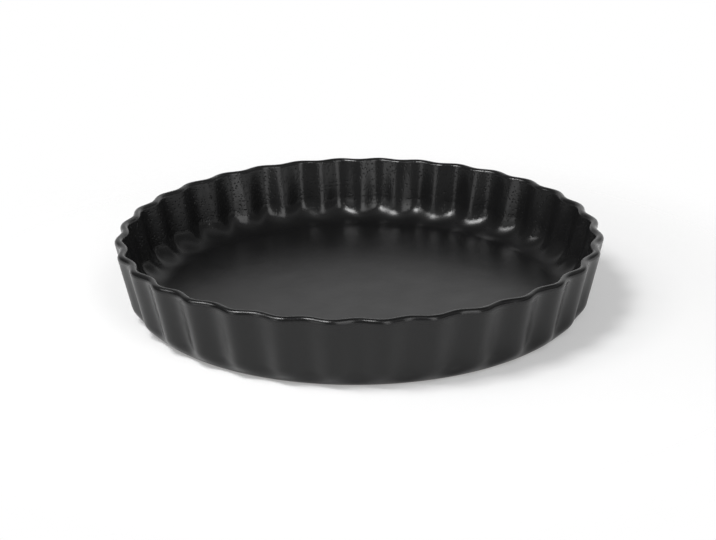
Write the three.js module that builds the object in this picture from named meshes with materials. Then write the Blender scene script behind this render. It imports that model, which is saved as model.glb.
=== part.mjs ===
// Round fluted baking dish in stoneware: one fired clay body under three coats of satin black glaze.
// Millimetres, +Z up. The origin lies on the table, under the middle of the dish.
// Angles round the dish start at -Y, where a flute points inward, and turn towards +X.

import * as THREE from "three";

// Whole dish
const rimDiameter = 280; // over the outward bulges of the flutes
const dishHeight = 41.5; // from the table to the top of the rim
const rimThickness = 4.8; // glazed rim and wall, from inside to outside
const wallLeanDegrees = 13; // how far the wall leans out from upright
const floorHeight = 4.2; // glazed inside floor above the table

// Flutes
const fluteCount = 32;
const wallFluteDepth = 4.2; // radial, from an inward crest to an outward bulge, low on the wall
const rimFluteDepth = 3.2; // the same at the rim
const outsideFadeLength = 2.5; // how far up the outside, above the rounded edge, they fade in

// Rounded corners of the clay
const bottomEdgeRadius = 9; // outside, where the wall turns under and the flutes die away
const coveRadius = 17; // inside, where the wall meets the floor and the flutes die away

// Foot that the dish stands on, bare of glaze
const footWidth = 8;
const footHeight = 0.8; // how far the base is hollowed inside the foot
const bareBandHeight = 0.6; // how far above the table the outside glaze stops
const bareBandWidth = 1; // clay wiped clean on the base, inside the foot

// Glaze
const glazeThickness = 0.5;

// Fineness of the surface
const facetsPerFlute = 6;
const rimFacetsInside = 2;
const rimFacetsOutside = 3;
const coveFacets = 4;
const bottomEdgeFacets = 2;

// Values that follow from the sizes above
const lean = THREE.MathUtils.degToRad(wallLeanDegrees);
const straightUp = Math.PI / 2;
const straightDown = -Math.PI / 2;
const clayRimRadius = rimThickness / 2 - glazeThickness;
const clayFloorHeight = floorHeight - glazeThickness;
const rimCentre = {
  radius: (rimDiameter - rimThickness - rimFluteDepth) / 2,
  height: dishHeight - rimThickness / 2,
};
const bottomEdgeCentre = {
  radius: wallRadius(bottomEdgeRadius, clayRimRadius - bottomEdgeRadius),
  height: bottomEdgeRadius,
};
const coveCentre = {
  radius: wallRadius(clayFloorHeight + coveRadius, -clayRimRadius - coveRadius),
  height: clayFloorHeight + coveRadius,
};
const footOuterRadius = bottomEdgeCentre.radius;
const footInnerRadius = footOuterRadius - footWidth;
const bareBandAngle = Math.asin(
  (bareBandHeight - bottomEdgeRadius) / (bottomEdgeRadius + glazeThickness),
);

// Radius, at a height, of the line that runs along the wall at a distance outside its middle line.
function wallRadius(height, distance) {
  const slopedShift = (height - rimCentre.height) * Math.sin(lean);
  return rimCentre.radius + (distance + slopedShift) / Math.cos(lean);
}

// Points along an arc of the section, each with its height on the bare clay for the flutes.
function arc(centre, clayRadius, surfaceRadius, fromAngle, toAngle, facets) {
  const points = [];
  for (let step = 0; step <= facets; step += 1) {
    const angle = THREE.MathUtils.lerp(fromAngle, toAngle, step / facets);
    points.push({
      radius: centre.radius + surfaceRadius * Math.cos(angle),
      height: centre.height + surfaceRadius * Math.sin(angle),
      clayHeight: centre.height + clayRadius * Math.sin(angle),
    });
  }
  return points;
}

// A point on the straight wall, a length up from a point where a rounded corner ends.
function upTheWall(start, length) {
  return {
    radius: start.radius + length * Math.sin(lean),
    height: start.height + length * Math.cos(lean),
    clayHeight: start.clayHeight + length * Math.cos(lean),
  };
}

// Gives each point of a line its flute depth. The depth shrinks from the low end of the full flutes
// to the rim, and below that end each point keeps only its share of it.
function fluted(points, lowEnd, share) {
  const fullRise = rimCentre.height - lowEnd.clayHeight;
  return points.map((point, place) => {
    const rise = THREE.MathUtils.clamp((point.clayHeight - lowEnd.clayHeight) / fullRise, 0, 1);
    const depth = THREE.MathUtils.lerp(wallFluteDepth, rimFluteDepth, rise);
    return { radius: point.radius, height: point.height, flute: depth * share(point, place) };
  });
}

// A point of the section that the flutes don't reach.
function plain(radius, height) {
  return { radius, height, flute: 0 };
}

// Outside of the dish from the edge of the bare band up to the top of the rim, a coat outside the clay.
function outsideLine(coat) {
  const edge = arc(
    bottomEdgeCentre,
    bottomEdgeRadius,
    bottomEdgeRadius + coat,
    bareBandAngle,
    -lean,
    bottomEdgeFacets,
  );
  const fadeTop = upTheWall(edge.at(-1), outsideFadeLength);
  const rim = arc(
    rimCentre,
    clayRimRadius,
    clayRimRadius + coat,
    -lean,
    straightUp,
    rimFacetsOutside,
  );
  const share = (point) =>
    THREE.MathUtils.smoothstep(point.clayHeight, edge[0].clayHeight, fadeTop.clayHeight);
  return fluted([...edge, fadeTop, ...rim], fadeTop, share);
}

// Inside of the dish from the top of the rim down to the edge of the flat floor, a coat inside the clay.
function insideLine(coat) {
  const rim = arc(
    rimCentre,
    clayRimRadius,
    clayRimRadius + coat,
    straightUp,
    Math.PI - lean,
    rimFacetsInside,
  );
  const cove = arc(coveCentre, coveRadius, coveRadius - coat, -lean, straightDown, coveFacets);
  const line = [...rim, ...cove];
  const share = (point, place) =>
    THREE.MathUtils.smoothstep(line.length - 1 - place, 0, coveFacets);
  return fluted(line, cove[0], share);
}

// A ring of points round the dish at one point of the section, waved by the flutes.
function ring(point) {
  const facets = fluteCount * facetsPerFlute;
  const points = [];
  for (let facet = 0; facet < facets; facet += 1) {
    const angle = (2 * Math.PI * facet) / facets;
    const wave = (point.flute * Math.cos(fluteCount * angle)) / 2;
    const radius = point.radius - wave;
    points.push(radius * Math.sin(angle), -radius * Math.cos(angle), point.height);
  }
  return points;
}

// Whether a step of the section leads up, or outward where it is level.
function rises(from, to) {
  return to.height === from.height ? to.radius > from.radius : to.height > from.height;
}

// Turns a section into a closed surface. The section runs anticlockwise, with the radius to the
// right and the height up, and it either starts and ends on the axis or closes on itself. Facets
// split alike whichever way a line runs, so that a coat lies on the clay face to face.
function turned(section) {
  const facets = fluteCount * facetsPerFlute;
  const onAxis = section[0].radius === 0;
  const rings = onAxis ? section.slice(1, -1) : section;
  const positions = rings.flatMap(ring);
  const triangles = [];
  const corner = (row, facet) => (row % rings.length) * facets + (facet % facets);
  const bands = onAxis ? rings.length - 1 : rings.length;
  for (let row = 0; row < bands; row += 1) {
    for (let facet = 0; facet < facets; facet += 1) {
      const here = corner(row, facet);
      const beside = corner(row, facet + 1);
      const above = corner(row + 1, facet);
      const across = corner(row + 1, facet + 1);
      const leaning = facet % facetsPerFlute < facetsPerFlute / 2;
      if (leaning === rises(rings[row], rings[(row + 1) % rings.length])) {
        triangles.push(here, beside, across, here, across, above);
      } else {
        triangles.push(here, beside, above, beside, across, above);
      }
    }
  }
  if (onAxis) {
    const first = positions.length / 3;
    positions.push(0, 0, section[0].height, 0, 0, section.at(-1).height);
    for (let facet = 0; facet < facets; facet += 1) {
      triangles.push(first, corner(0, facet + 1), corner(0, facet));
      triangles.push(first + 1, corner(bands, facet), corner(bands, facet + 1));
    }
  }
  const geometry = new THREE.BufferGeometry();
  geometry.setAttribute("position", new THREE.Float32BufferAttribute(positions, 3));
  geometry.setIndex(triangles);
  geometry.computeVertexNormals();
  return geometry;
}

// Satin black glaze, the same recipe on all three coats.
function glazeMaterial() {
  return new THREE.MeshStandardMaterial({ color: "#161616", roughness: 0.36, metalness: 0 });
}

// The fired clay: fluted wall, flat floor and the foot that it stands on.
function stonewareBody() {
  const section = [
    plain(0, footHeight),
    plain(footInnerRadius, footHeight),
    plain(footInnerRadius, 0),
    plain(footOuterRadius, 0),
    ...outsideLine(0),
    ...insideLine(0).slice(1),
    plain(0, clayFloorHeight),
  ];
  const material = new THREE.MeshStandardMaterial({
    color: "#b8a68f",
    roughness: 0.9,
    metalness: 0,
  });
  return new THREE.Mesh(turned(section), material);
}

// Liner glaze, poured in: it covers the floor, the cove and the inner wall up to the top of the rim.
function insideGlaze() {
  const section = [
    plain(0, clayFloorHeight),
    ...insideLine(0).reverse(),
    ...insideLine(glazeThickness),
    plain(0, floorHeight),
  ];
  return new THREE.Mesh(turned(section), glazeMaterial());
}

// Outside glaze, dipped to just above the foot: it meets the liner along the top of the rim.
function outsideGlaze() {
  const section = [...outsideLine(glazeThickness), ...outsideLine(0).reverse()];
  return new THREE.Mesh(turned(section), glazeMaterial());
}

// Glaze on the base, in the hollow inside the foot.
function undersideGlaze() {
  const radius = footInnerRadius - bareBandWidth;
  const section = [
    plain(0, footHeight - glazeThickness),
    plain(radius, footHeight - glazeThickness),
    plain(radius, footHeight),
    plain(0, footHeight),
  ];
  return new THREE.Mesh(turned(section), glazeMaterial());
}

const makers = {
  stoneware_body: stonewareBody,
  inside_glaze: insideGlaze,
  outside_glaze: outsideGlaze,
  underside_glaze: undersideGlaze,
};

const bakingDish = new THREE.Group();
bakingDish.name = "fluted_baking_dish";
for (const [name, make] of Object.entries(makers)) {
  const mesh = make();
  mesh.name = name;
  bakingDish.add(mesh);
}

export default bakingDish;
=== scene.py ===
# Round fluted baking dish in stoneware, glazed satin black, standing on a white studio table.
# Everything is in metres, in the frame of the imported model: +Z up, the table at zero.

import math

import bpy
import numpy as np
from mathutils import Matrix, Vector


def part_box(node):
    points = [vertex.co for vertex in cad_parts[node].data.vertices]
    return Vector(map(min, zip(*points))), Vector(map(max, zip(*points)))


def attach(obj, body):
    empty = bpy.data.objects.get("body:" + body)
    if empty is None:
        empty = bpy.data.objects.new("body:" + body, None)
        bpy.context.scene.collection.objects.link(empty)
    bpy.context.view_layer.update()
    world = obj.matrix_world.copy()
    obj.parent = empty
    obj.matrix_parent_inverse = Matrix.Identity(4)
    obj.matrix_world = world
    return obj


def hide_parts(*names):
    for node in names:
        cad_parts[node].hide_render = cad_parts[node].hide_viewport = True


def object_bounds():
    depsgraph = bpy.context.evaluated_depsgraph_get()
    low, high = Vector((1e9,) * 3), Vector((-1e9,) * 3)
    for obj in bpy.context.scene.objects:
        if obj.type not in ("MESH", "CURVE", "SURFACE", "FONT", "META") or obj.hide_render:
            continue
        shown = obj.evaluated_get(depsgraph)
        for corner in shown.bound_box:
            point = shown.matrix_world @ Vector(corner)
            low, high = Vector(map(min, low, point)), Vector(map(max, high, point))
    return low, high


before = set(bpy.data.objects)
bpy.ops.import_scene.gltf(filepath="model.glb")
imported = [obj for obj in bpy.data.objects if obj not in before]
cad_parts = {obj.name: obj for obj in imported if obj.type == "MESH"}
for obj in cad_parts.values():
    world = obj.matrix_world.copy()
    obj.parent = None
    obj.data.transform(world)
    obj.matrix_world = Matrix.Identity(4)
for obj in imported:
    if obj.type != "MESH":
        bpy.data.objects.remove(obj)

cad_low, cad_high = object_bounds()
scene = bpy.context.scene
scene.view_settings.view_transform = "Standard"


# Camera
# The dish is seen from about a metre away and twenty degrees above its rim, with a long lens, a
# little to the right of the flute that points inward at the front.
photo_width = 716
focal_length_px = 1654
sensor_width = 36
camera_place = (0.0127, -0.8981, 0.3593)
camera_aim = (-0.0008, 0.0, 0.0155)
camera_roll = math.radians(-0.66)

camera_data = bpy.data.cameras.new("photo_camera")
camera_data.sensor_width = sensor_width
camera_data.lens = sensor_width * focal_length_px / photo_width
camera = bpy.data.objects.new("photo_camera", camera_data)
camera.location = camera_place
line_of_sight = Vector(camera_aim) - Vector(camera_place)
facing = line_of_sight.to_track_quat("-Z", "Y").to_matrix()
camera.rotation_euler = (facing @ Matrix.Rotation(camera_roll, 3, "Z")).to_euler()
scene.collection.objects.link(camera)
scene.camera = camera


# Stoneware body
# The dish is pressed in one piece from clay, in a mould with slightly uneven flutes: a wall that
# leans out, a flat floor and a low foot. The fired clay shows only on the foot, which is wiped
# clean so that it can't stick in the kiln.
rim_diameter = 0.280
rim_thickness = 0.0048
wall_lean = math.radians(13)
flute_count = 32
wall_flute_depth = 0.0042
rim_flute_depth = 0.0032
outside_fade_length = 0.0025
bottom_edge_radius = 0.009
cove_radius = 0.017
foot_width = 0.008
bare_band_height = 0.0006
glaze_thickness = 0.0005
dish_height = cad_high.z
foot_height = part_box("underside_glaze")[1].z
clay_floor_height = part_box("inside_glaze")[0].z

clay_rim_radius = rim_thickness / 2 - glaze_thickness
rim_circle = (rim_diameter - rim_thickness - rim_flute_depth) / 2
rim_height = dish_height - rim_thickness / 2


def wall_radius(height, distance):
    """Radius, at a height, of the line along the wall at a distance outside its middle."""
    sloped_shift = (height - rim_height) * math.sin(wall_lean)
    return rim_circle + (distance + sloped_shift) / math.cos(wall_lean)


bottom_edge_circle = wall_radius(bottom_edge_radius, clay_rim_radius - bottom_edge_radius)
cove_height = clay_floor_height + cove_radius
cove_circle = wall_radius(cove_height, -clay_rim_radius - cove_radius)
bare_band_angle = math.asin(
    (bare_band_height - bottom_edge_radius) / (bottom_edge_radius + glaze_thickness)
)


def arc(circle, height, clay_radius, coat, start, end, steps):
    """Points (radius, height, height on the clay) along a rounded corner of the section."""
    turn = np.linspace(start, end, steps + 1)
    reach = clay_radius + coat
    return np.column_stack(
        [
            circle + reach * np.cos(turn),
            height + reach * np.sin(turn),
            height + clay_radius * np.sin(turn),
        ]
    )


def between(start, end, steps):
    """Points on the straight stretch between two points, without the two ends."""
    share = np.linspace(0, 1, steps + 1)[1:-1, None]
    return start + (end - start) * share


def fluted(points, low_end, share):
    """Turns the clay heights of a line into flute depths, shallower from a low end to the rim."""
    rise = np.clip((points[:, 2] - low_end) / (rim_height - low_end), 0, 1)
    depth = wall_flute_depth + (rim_flute_depth - wall_flute_depth) * rise
    share = np.clip(share, 0, 1)
    return np.column_stack([points[:, :2], depth * share * share * (3 - 2 * share)])


def outside_line(coat, fineness):
    """Outside of the dish, from the edge of the bare band up to the top of the rim."""
    edge = arc(
        bottom_edge_circle,
        bottom_edge_radius,
        bottom_edge_radius,
        coat,
        bare_band_angle,
        -wall_lean,
        3 * fineness,
    )
    rim = arc(rim_circle, rim_height, clay_rim_radius, coat, -wall_lean, math.pi / 2, 4 * fineness)
    wall = between(edge[-1], rim[0], 8 * fineness)
    line = np.vstack([edge, wall, rim])
    fade_bottom = edge[0][2]
    fade_top = edge[-1][2] + outside_fade_length * math.cos(wall_lean)
    return fluted(line, fade_top, (line[:, 2] - fade_bottom) / (fade_top - fade_bottom))


def inside_line(coat, fineness):
    """Inside of the dish, from the top of the rim down to the edge of the flat floor."""
    rim_end = math.pi - wall_lean
    rim = arc(rim_circle, rim_height, clay_rim_radius, coat, math.pi / 2, rim_end, 3 * fineness)
    cove = arc(cove_circle, cove_height, cove_radius, -coat, -wall_lean, -math.pi / 2, 4 * fineness)
    wall = between(rim[-1], cove[0], 8 * fineness)
    line = np.vstack([rim, wall, cove])
    steps_from_floor = np.arange(len(line))[::-1]
    return fluted(line, cove[0][2], steps_from_floor / (len(cove) - 1))


def level(height, *radii):
    """Plain rings at one height."""
    return np.array([(radius, height, 0.0) for radius in radii])


columns_per_flute = 16
columns = flute_count * columns_per_flute
around = np.linspace(0, 2 * math.pi, columns, endpoint=False)
depth_share = 0.88 - 0.045 * np.cos(4 * around) + 0.015 * np.cos(11 * around + 2.1)
drift_degrees = 0.4 - 0.4 * np.sin(around) - 0.45 * np.sin(2 * around) - 0.15 * np.cos(around)
flute_wave = np.cos(flute_count * (around - np.radians(drift_degrees))) * depth_share / 2


def turned_rings(line):
    """Rings of points round the dish, one for each point of a section line."""
    radius = line[:, :1] - line[:, 2:] * flute_wave
    height = np.broadcast_to(line[:, 1:2], radius.shape)
    return np.stack([radius * np.sin(around), -radius * np.cos(around), height], axis=-1)


def ring_normals(rings):
    """Outward directions at every point of rings that run anticlockwise round a section."""
    along = np.gradient(rings, axis=0)
    across = np.roll(rings, -1, axis=1) - np.roll(rings, 1, axis=1)
    normals = np.cross(across, along)
    return normals / np.linalg.norm(normals, axis=-1, keepdims=True)


def turned_piece(name, rings, normals, axis_heights=None):
    """A closed mesh from rings round a section, or from rings with both ends on the axis."""
    count = len(rings)
    points = rings.reshape(-1, 3).tolist()
    directions = normals.reshape(-1, 3).tolist()
    here = np.arange(columns)
    beside = (here + 1) % columns
    faces = []
    for ring in range(count if axis_heights is None else count - 1):
        low = ring * columns
        high = (ring + 1) % count * columns
        faces += np.column_stack([low + here, low + beside, high + beside, high + here]).tolist()
    if axis_heights is not None:
        first = len(points)
        last = first + 1
        top = (count - 1) * columns
        points += [(0, 0, axis_heights[0]), (0, 0, axis_heights[1])]
        directions += [(0, 0, -1), (0, 0, 1)]
        faces += [(first, b, a) for a, b in zip(here.tolist(), beside.tolist())]
        faces += [(last, top + a, top + b) for a, b in zip(here.tolist(), beside.tolist())]
    mesh = bpy.data.meshes.new(name)
    mesh.from_pydata(points, [], faces)
    mesh.shade_smooth()
    mesh.normals_split_custom_set_from_vertices(directions)
    piece = bpy.data.objects.new(name, mesh)
    scene.collection.objects.link(piece)
    return piece


hidden_fineness = 1
foot_outer_radius = bottom_edge_circle
foot_inner_radius = foot_outer_radius - foot_width
foot_edge_rounding = 0.0006
foot_rings = np.vstack(
    [
        level(foot_height, foot_inner_radius * 0.5, foot_inner_radius),
        level(foot_edge_rounding, foot_inner_radius),
        level(0.0, foot_inner_radius + foot_edge_rounding, foot_outer_radius),
    ]
)
under_edge = fluted(
    arc(
        bottom_edge_circle,
        bottom_edge_radius,
        bottom_edge_radius,
        0.0,
        -math.pi / 2,
        bare_band_angle,
        6,
    )[1:-1],
    0.0,
    0.0,
)
clay_rings = turned_rings(
    np.vstack(
        [
            foot_rings,
            under_edge,
            outside_line(0.0, hidden_fineness),
            inside_line(0.0, hidden_fineness)[1:],
        ]
    )
)
stoneware_body = turned_piece(
    "stoneware_body_clay",
    clay_rings,
    ring_normals(clay_rings),
    (foot_height, clay_floor_height),
)
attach(stoneware_body, "root")
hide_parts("stoneware_body")

clay_colour = (0.50, 0.40, 0.29, 1.0)
clay_fleck_colour = (0.20, 0.14, 0.09, 1.0)

bare_clay = bpy.data.materials.new("bare_stoneware")
bare_clay.use_nodes = True
nodes = bare_clay.node_tree.nodes
links = bare_clay.node_tree.links
clay_shader = nodes["Principled BSDF"]
clay_shader.inputs["Roughness"].default_value = 0.85
clay_place = nodes.new("ShaderNodeTexCoord")
clay_grit = nodes.new("ShaderNodeTexNoise")
clay_grit.inputs["Scale"].default_value = 1800
clay_grit.inputs["Detail"].default_value = 3
links.new(clay_place.outputs["Object"], clay_grit.inputs["Vector"])
clay_colours = nodes.new("ShaderNodeValToRGB")
clay_colours.color_ramp.elements[0].position = 0.30
clay_colours.color_ramp.elements[0].color = clay_fleck_colour
clay_colours.color_ramp.elements[1].position = 0.48
clay_colours.color_ramp.elements[1].color = clay_colour
links.new(clay_grit.outputs["Fac"], clay_colours.inputs["Fac"])
links.new(clay_colours.outputs["Color"], clay_shader.inputs["Base Color"])
clay_bump = nodes.new("ShaderNodeBump")
clay_bump.inputs["Distance"].default_value = 0.0001
links.new(clay_grit.outputs["Fac"], clay_bump.inputs["Height"])
links.new(clay_bump.outputs["Normal"], clay_shader.inputs["Normal"])
stoneware_body.data.materials.append(bare_clay)


# Glaze
# One satin black glaze coats the clay in three steps. Fired, it is smooth on the floor, finely
# pitted on the inner wall, and glossiest on the inner wall and the rim. Its colour is painted a
# shade paler up the inner wall: painted light, standing in for light the lamps don't bring there.
wall_blend_height = 0.006
pit_width_share = 0.42
mottle_low = 0.3
mottle_high = 0.7


def glaze_skin_group():
    """Node group with the fired glaze's colour plus painted light, roughness and fine relief."""
    group = bpy.data.node_groups.new("glaze_skin", "ShaderNodeTree")
    sockets = group.interface
    for socket_name in ("Dark", "Light"):
        sockets.new_socket(socket_name, in_out="INPUT", socket_type="NodeSocketColor")
    for socket_name in (
        "Mottle Scale",
        "Ripple Depth",
        "Smooth",
        "Rough",
        "Wall Start",
        "Wall Gloss",
        "Wall Painted Light",
        "Pit Start",
        "Pit Scale",
        "Pit Depth",
    ):
        sockets.new_socket(socket_name, in_out="INPUT", socket_type="NodeSocketFloat")
    sockets.new_socket("Colour", in_out="OUTPUT", socket_type="NodeSocketColor")
    sockets.new_socket("Roughness", in_out="OUTPUT", socket_type="NodeSocketFloat")
    sockets.new_socket("Height", in_out="OUTPUT", socket_type="NodeSocketFloat")
    make = group.nodes.new
    join = group.links.new
    given = make("NodeGroupInput")
    result = make("NodeGroupOutput")
    place = make("ShaderNodeTexCoord")

    mottle = make("ShaderNodeTexNoise")
    mottle.inputs["Detail"].default_value = 2
    join(place.outputs["Object"], mottle.inputs["Vector"])
    join(given.outputs["Mottle Scale"], mottle.inputs["Scale"])

    axes = make("ShaderNodeSeparateXYZ")
    join(place.outputs["Object"], axes.inputs["Vector"])

    def above(start, amount):
        """An amount that comes in over a few millimetres above a start height."""
        rise = make("ShaderNodeMath")
        rise.operation = "SUBTRACT"
        join(axes.outputs["Z"], rise.inputs[0])
        join(given.outputs[start], rise.inputs[1])
        part = make("ShaderNodeMapRange")
        part.interpolation_type = "SMOOTHSTEP"
        part.inputs["From Max"].default_value = wall_blend_height
        join(rise.outputs["Value"], part.inputs["Value"])
        join(given.outputs[amount], part.inputs["To Max"])
        return part.outputs["Result"]

    # The colour is the glaze's random mottle plus painted light: a lift above the wall start that
    # paints the inner wall paler, in place of light the lamps don't bring there.
    mottle_and_painted_light = make("ShaderNodeMath")
    mottle_and_painted_light.operation = "ADD"
    join(mottle.outputs["Fac"], mottle_and_painted_light.inputs[0])
    join(above("Wall Start", "Wall Painted Light"), mottle_and_painted_light.inputs[1])
    colour = make("ShaderNodeMix")
    colour.data_type = "RGBA"
    colour.clamp_factor = False
    join(mottle_and_painted_light.outputs["Value"], colour.inputs["Factor"])
    join(given.outputs["Dark"], colour.inputs["A"])
    join(given.outputs["Light"], colour.inputs["B"])
    join(colour.outputs["Result"], result.inputs["Colour"])

    roughness = make("ShaderNodeMapRange")
    roughness.inputs["From Min"].default_value = mottle_low
    roughness.inputs["From Max"].default_value = mottle_high
    join(mottle.outputs["Fac"], roughness.inputs["Value"])
    join(given.outputs["Smooth"], roughness.inputs["To Min"])
    join(given.outputs["Rough"], roughness.inputs["To Max"])

    glossed = make("ShaderNodeMath")
    glossed.operation = "SUBTRACT"
    join(roughness.outputs["Result"], glossed.inputs[0])
    join(above("Wall Start", "Wall Gloss"), glossed.inputs[1])
    join(glossed.outputs["Value"], result.inputs["Roughness"])

    pits = make("ShaderNodeTexVoronoi")
    join(place.outputs["Object"], pits.inputs["Vector"])
    join(given.outputs["Pit Scale"], pits.inputs["Scale"])
    pit_shape = make("ShaderNodeMapRange")
    pit_shape.interpolation_type = "SMOOTHSTEP"
    pit_shape.inputs["From Max"].default_value = pit_width_share
    join(pits.outputs["Distance"], pit_shape.inputs["Value"])
    pit_relief = make("ShaderNodeMath")
    pit_relief.operation = "MULTIPLY"
    join(pit_shape.outputs["Result"], pit_relief.inputs[0])
    join(above("Pit Start", "Pit Depth"), pit_relief.inputs[1])

    ripple_relief = make("ShaderNodeMath")
    ripple_relief.operation = "MULTIPLY"
    join(mottle.outputs["Fac"], ripple_relief.inputs[0])
    join(given.outputs["Ripple Depth"], ripple_relief.inputs[1])
    relief = make("ShaderNodeMath")
    relief.operation = "ADD"
    join(pit_relief.outputs["Value"], relief.inputs[0])
    join(ripple_relief.outputs["Value"], relief.inputs[1])
    join(relief.outputs["Value"], result.inputs["Height"])
    return group


glaze_skin = glaze_skin_group()


def glaze_material(name, values):
    """Satin black glaze with its own values for the skin."""
    material = bpy.data.materials.new(name)
    material.use_nodes = True
    make = material.node_tree.nodes.new
    join = material.node_tree.links.new
    shader = material.node_tree.nodes["Principled BSDF"]
    shader.inputs["IOR"].default_value = 1.40
    skin = make("ShaderNodeGroup")
    skin.node_tree = glaze_skin
    for socket_name, value in values.items():
        skin.inputs[socket_name].default_value = value
    join(skin.outputs["Colour"], shader.inputs["Base Color"])
    join(skin.outputs["Roughness"], shader.inputs["Roughness"])
    bump = make("ShaderNodeBump")
    bump.inputs["Distance"].default_value = 1.0
    join(skin.outputs["Height"], bump.inputs["Height"])
    join(bump.outputs["Normal"], shader.inputs["Normal"])
    return material


glaze_dark = (0.0045, 0.0045, 0.0047, 1.0)
glaze_light = (0.0075, 0.0075, 0.0077, 1.0)
shown_fineness = 4
outside_shown = outside_line(glaze_thickness, shown_fineness)
inside_shown = inside_line(glaze_thickness, shown_fineness)
floor_height = clay_floor_height + glaze_thickness
floor_rings = 12
floor_radii = np.linspace(cove_circle, 0, floor_rings + 1)[1:-1]
floor_shown = level(floor_height, *floor_radii)
shown_rings = turned_rings(np.vstack([outside_shown, inside_shown[1:], floor_shown]))
shown_normals = ring_normals(shown_rings)
rim_top = len(outside_shown) - 1


# Inside glaze
# The liner is poured in and swirled round: it covers the floor, the cove and the inner flutes and
# runs up to the top of the rim, where it meets the outside coat.
inside_back = turned_rings(inside_line(0.0, hidden_fineness)[::-1])
inside_glaze = turned_piece(
    "inside_glaze_coat",
    np.concatenate([inside_back, shown_rings[rim_top:]]),
    np.concatenate([ring_normals(inside_back), shown_normals[rim_top:]]),
    (clay_floor_height, floor_height),
)
inside_glaze.data.materials.append(
    glaze_material(
        "inside_glaze",
        {
            "Dark": glaze_dark,
            "Light": glaze_light,
            "Mottle Scale": 60,
            "Ripple Depth": 0.0002,
            "Smooth": 0.29,
            "Rough": 0.34,
            "Wall Start": 0.005,
            "Wall Gloss": 0.10,
            # Painted light: the inner wall's colour is lifted paler above the wall start.
            "Wall Painted Light": 1.0,
            "Pit Start": 0.008,
            "Pit Scale": 520,
            "Pit Depth": 0.00009,
        },
    )
)
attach(inside_glaze, "root")
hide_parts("inside_glaze")


# Outside glaze
# The outside is dipped: the coat runs from the top of the rim down over the flutes and stops just
# above the foot.
outside_back = turned_rings(outside_line(0.0, hidden_fineness)[::-1])
outside_glaze = turned_piece(
    "outside_glaze_coat",
    np.concatenate([shown_rings[: rim_top + 1], outside_back]),
    np.concatenate([shown_normals[: rim_top + 1], ring_normals(outside_back)]),
)
outside_glaze.data.materials.append(
    glaze_material(
        "outside_glaze",
        {
            "Dark": glaze_dark,
            "Light": glaze_light,
            "Mottle Scale": 60,
            "Ripple Depth": 0.0002,
            "Smooth": 0.30,
            "Rough": 0.36,
            "Wall Start": 0.034,
            "Wall Gloss": 0.09,
            "Wall Painted Light": 0.0,
            "Pit Start": -0.01,
            "Pit Scale": 1000,
            "Pit Depth": 0.00002,
        },
    )
)
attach(outside_glaze, "root")
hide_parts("outside_glaze")


# Underside glaze
# The base is glazed too, in the shallow hollow inside the foot, and held back from the foot by the
# width of a sponge wipe.
underside_low, underside_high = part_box("underside_glaze")
underside_radius = underside_high.x
underside_rings = turned_rings(
    np.vstack(
        [
            level(underside_low.z, underside_radius * 0.5, underside_radius - glaze_thickness),
            level(underside_low.z + glaze_thickness / 2, underside_radius),
            level(underside_high.z, underside_radius, underside_radius * 0.5),
        ]
    )
)
underside_glaze = turned_piece(
    "underside_glaze_coat",
    underside_rings,
    ring_normals(underside_rings),
    (underside_low.z, underside_high.z),
)
underside_glaze.data.materials.append(
    glaze_material(
        "underside_glaze",
        {
            "Dark": glaze_dark,
            "Light": glaze_light,
            "Mottle Scale": 60,
            "Ripple Depth": 0.0003,
            "Smooth": 0.42,
            "Rough": 0.55,
            "Wall Start": -0.01,
            "Wall Gloss": 0.0,
            "Wall Painted Light": 0.0,
            "Pit Start": -0.01,
            "Pit Scale": 600,
            "Pit Depth": 0.00006,
        },
    )
)
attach(underside_glaze, "root")
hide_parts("underside_glaze")


# Studio table
# A plain white table top under the dish, which passes without an edge into the white all round it.
# The camera and the glaze see it a little lighter than it is, so that it looks white in soft light.
table_colour = (0.68, 0.68, 0.68, 1.0)
table_radius = 1.6
table_fade_start = 0.16
table_fade_end = 0.30
table_sides = 96
table_whitening = 0.28
table_mesh = bpy.data.meshes.new("studio_table")
table_turn = np.linspace(0, 2 * math.pi, table_sides, endpoint=False)
table_edge = np.column_stack(
    [table_radius * np.cos(table_turn), table_radius * np.sin(table_turn), np.zeros(table_sides)]
)
table_mesh.from_pydata(table_edge.tolist(), [], [list(range(table_sides))])
table = bpy.data.objects.new("studio_table", table_mesh)
scene.collection.objects.link(table)
table_white = bpy.data.materials.new("studio_table_white")
table_white.use_nodes = True
make = table_white.node_tree.nodes.new
join = table_white.node_tree.links.new
table_shader = table_white.node_tree.nodes["Principled BSDF"]
table_shader.inputs["Base Color"].default_value = table_colour
table_shader.inputs["Roughness"].default_value = 0.9
table_shader.inputs["Specular IOR Level"].default_value = 0.0
table_shader.inputs["Emission Color"].default_value = (1.0, 1.0, 1.0, 1.0)
table_place = make("ShaderNodeTexCoord")
table_distance = make("ShaderNodeVectorMath")
table_distance.operation = "LENGTH"
join(table_place.outputs["Object"], table_distance.inputs[0])
table_fade = make("ShaderNodeMapRange")
table_fade.interpolation_type = "SMOOTHSTEP"
table_fade.inputs["From Min"].default_value = table_fade_start
table_fade.inputs["From Max"].default_value = table_fade_end
table_fade.inputs["To Min"].default_value = 1.0
table_fade.inputs["To Max"].default_value = 0.0
join(table_distance.outputs["Value"], table_fade.inputs["Value"])
join(table_fade.outputs["Result"], table_shader.inputs["Alpha"])
table_rays = make("ShaderNodeLightPath")
table_seen = make("ShaderNodeMath")
table_seen.operation = "ADD"
join(table_rays.outputs["Is Camera Ray"], table_seen.inputs[0])
join(table_rays.outputs["Is Glossy Ray"], table_seen.inputs[1])
table_seen_through = make("ShaderNodeMath")
table_seen_through.operation = "ADD"
join(table_seen.outputs["Value"], table_seen_through.inputs[0])
join(table_rays.outputs["Is Transmission Ray"], table_seen_through.inputs[1])
table_glow = make("ShaderNodeMath")
table_glow.operation = "MULTIPLY"
table_glow.inputs[1].default_value = table_whitening
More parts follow.
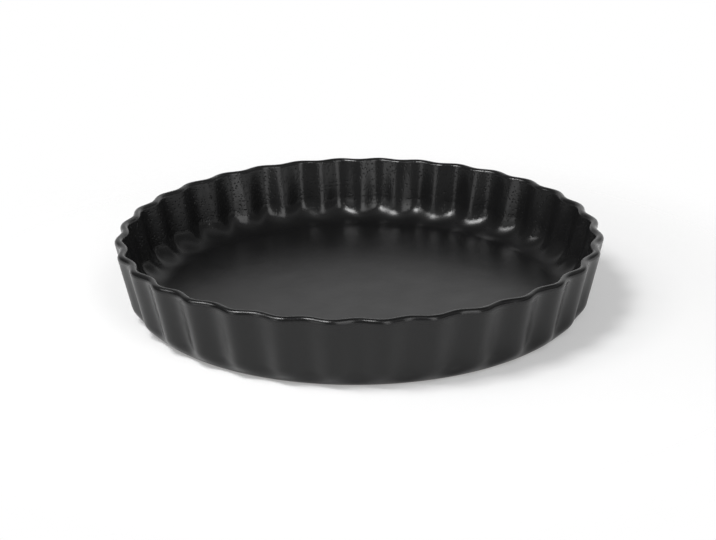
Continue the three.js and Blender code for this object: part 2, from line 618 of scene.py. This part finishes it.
join(table_seen_through.outputs["Value"], table_glow.inputs[0])
join(table_glow.outputs["Value"], table_shader.inputs["Emission Strength"])
table_mesh.materials.append(table_white)


# Studio light
# A soft box stands high in front on the left, with weaker light beside and below it, and more boxes
# stand in front on the right and low on the left. The room is dark on the left and overhead, bright
# in a low band on the right, grey behind the dish and white below the level of the table.
def soft_box(name, turn, rise, distance, width, height, brightness):
    """A rectangular lamp that faces the dish, with a brightness of its face where one is white."""
    lamp = bpy.data.lights.new(name, "AREA")
    lamp.shape = "RECTANGLE"
    lamp.size = width
    lamp.size_y = height
    lamp.energy = brightness * math.pi * width * height
    box = bpy.data.objects.new(name, lamp)
    turn = math.radians(turn)
    rise = math.radians(rise)
    away = Vector(
        (math.sin(turn) * math.cos(rise), -math.cos(turn) * math.cos(rise), math.sin(rise))
    )
    box.location = away * distance
    box.rotation_euler = (-away).to_track_quat("-Z", "Y").to_euler()
    box.visible_camera = False
    scene.collection.objects.link(box)


soft_box("key_box", -54, 62, 1.35, 0.42, 0.42, 20.0)
soft_box("side_box", -76, 48, 1.4, 0.36, 0.40, 7.0)
soft_box("spill_box", -50, 27, 1.4, 0.70, 0.50, 0.7)
soft_box("left_box", -48, 10, 1.4, 0.46, 0.45, 1.6)
soft_box("right_box", 25, 11, 1.5, 0.50, 0.45, 1.9)
soft_box("right_high_box", 25, 41, 1.5, 0.50, 1.05, 3.2)
soft_box("right_low_box", 58, 6, 1.5, 0.40, 0.25, 0.6)

room_front = 0.22
room_left = 0.10
room_right_low = 1.00
room_right_middle = 0.18
room_right_high = 0.50
room_behind_left = 0.64
room_behind_right = 0.95
room_above = 0.25
room_above_behind = 0.05
white_below = 1.0
world = bpy.data.worlds.new("studio_room")
world.use_nodes = True
make = world.node_tree.nodes.new
join = world.node_tree.links.new
room = world.node_tree.nodes["Background"]
room_place = make("ShaderNodeTexCoord")
room_axes = make("ShaderNodeSeparateXYZ")
join(room_place.outputs["Generated"], room_axes.inputs["Vector"])


def room_step(axis, start, end, start_value, end_value):
    """A soft step of the room's brightness along one axis."""
    step = make("ShaderNodeMapRange")
    step.interpolation_type = "SMOOTHSTEP"
    step.inputs["From Min"].default_value = start
    step.inputs["From Max"].default_value = end
    step.inputs["To Min"].default_value = start_value
    step.inputs["To Max"].default_value = end_value
    join(room_axes.outputs[axis], step.inputs["Value"])
    return step.outputs["Result"]


def room_mix(share, low, high):
    """The room's brightness between two values or outputs."""
    mix = make("ShaderNodeMix")
    join(share, mix.inputs["Factor"])
    for socket, value in (("A", low), ("B", high)):
        if isinstance(value, float):
            mix.inputs[socket].default_value = value
        else:
            join(value, mix.inputs[socket])
    return mix.outputs["Result"]


low_right = room_mix(room_step("Z", 0.12, 0.24, 0.0, 1.0), room_right_low, room_right_middle)
on_right = room_mix(room_step("Z", 0.50, 0.68, 0.0, 1.0), low_right, room_right_high)
to_right = room_mix(room_step("X", 0.3, 0.6, 0.0, 1.0), room_front, on_right)
to_left = room_mix(room_step("X", -0.8, -0.5, 1.0, 0.0), to_right, room_left)
behind = room_mix(room_step("X", -0.15, 0.15, 0.0, 1.0), room_behind_left, room_behind_right)
round_about = room_mix(room_step("Y", 0.5, 0.9, 0.0, 1.0), to_left, behind)
top = room_mix(room_step("Y", -0.1, 0.3, 0.0, 1.0), room_above, room_above_behind)
with_top = room_mix(room_step("Z", 0.65, 0.85, 0.0, 1.0), round_about, top)
with_ground = room_mix(room_step("Z", -0.02, 0.16, 1.0, 0.0), with_top, white_below)
join(with_ground, room.inputs["Strength"])
room.inputs["Color"].default_value = (1.0, 1.0, 1.0, 1.0)
scene.world = world
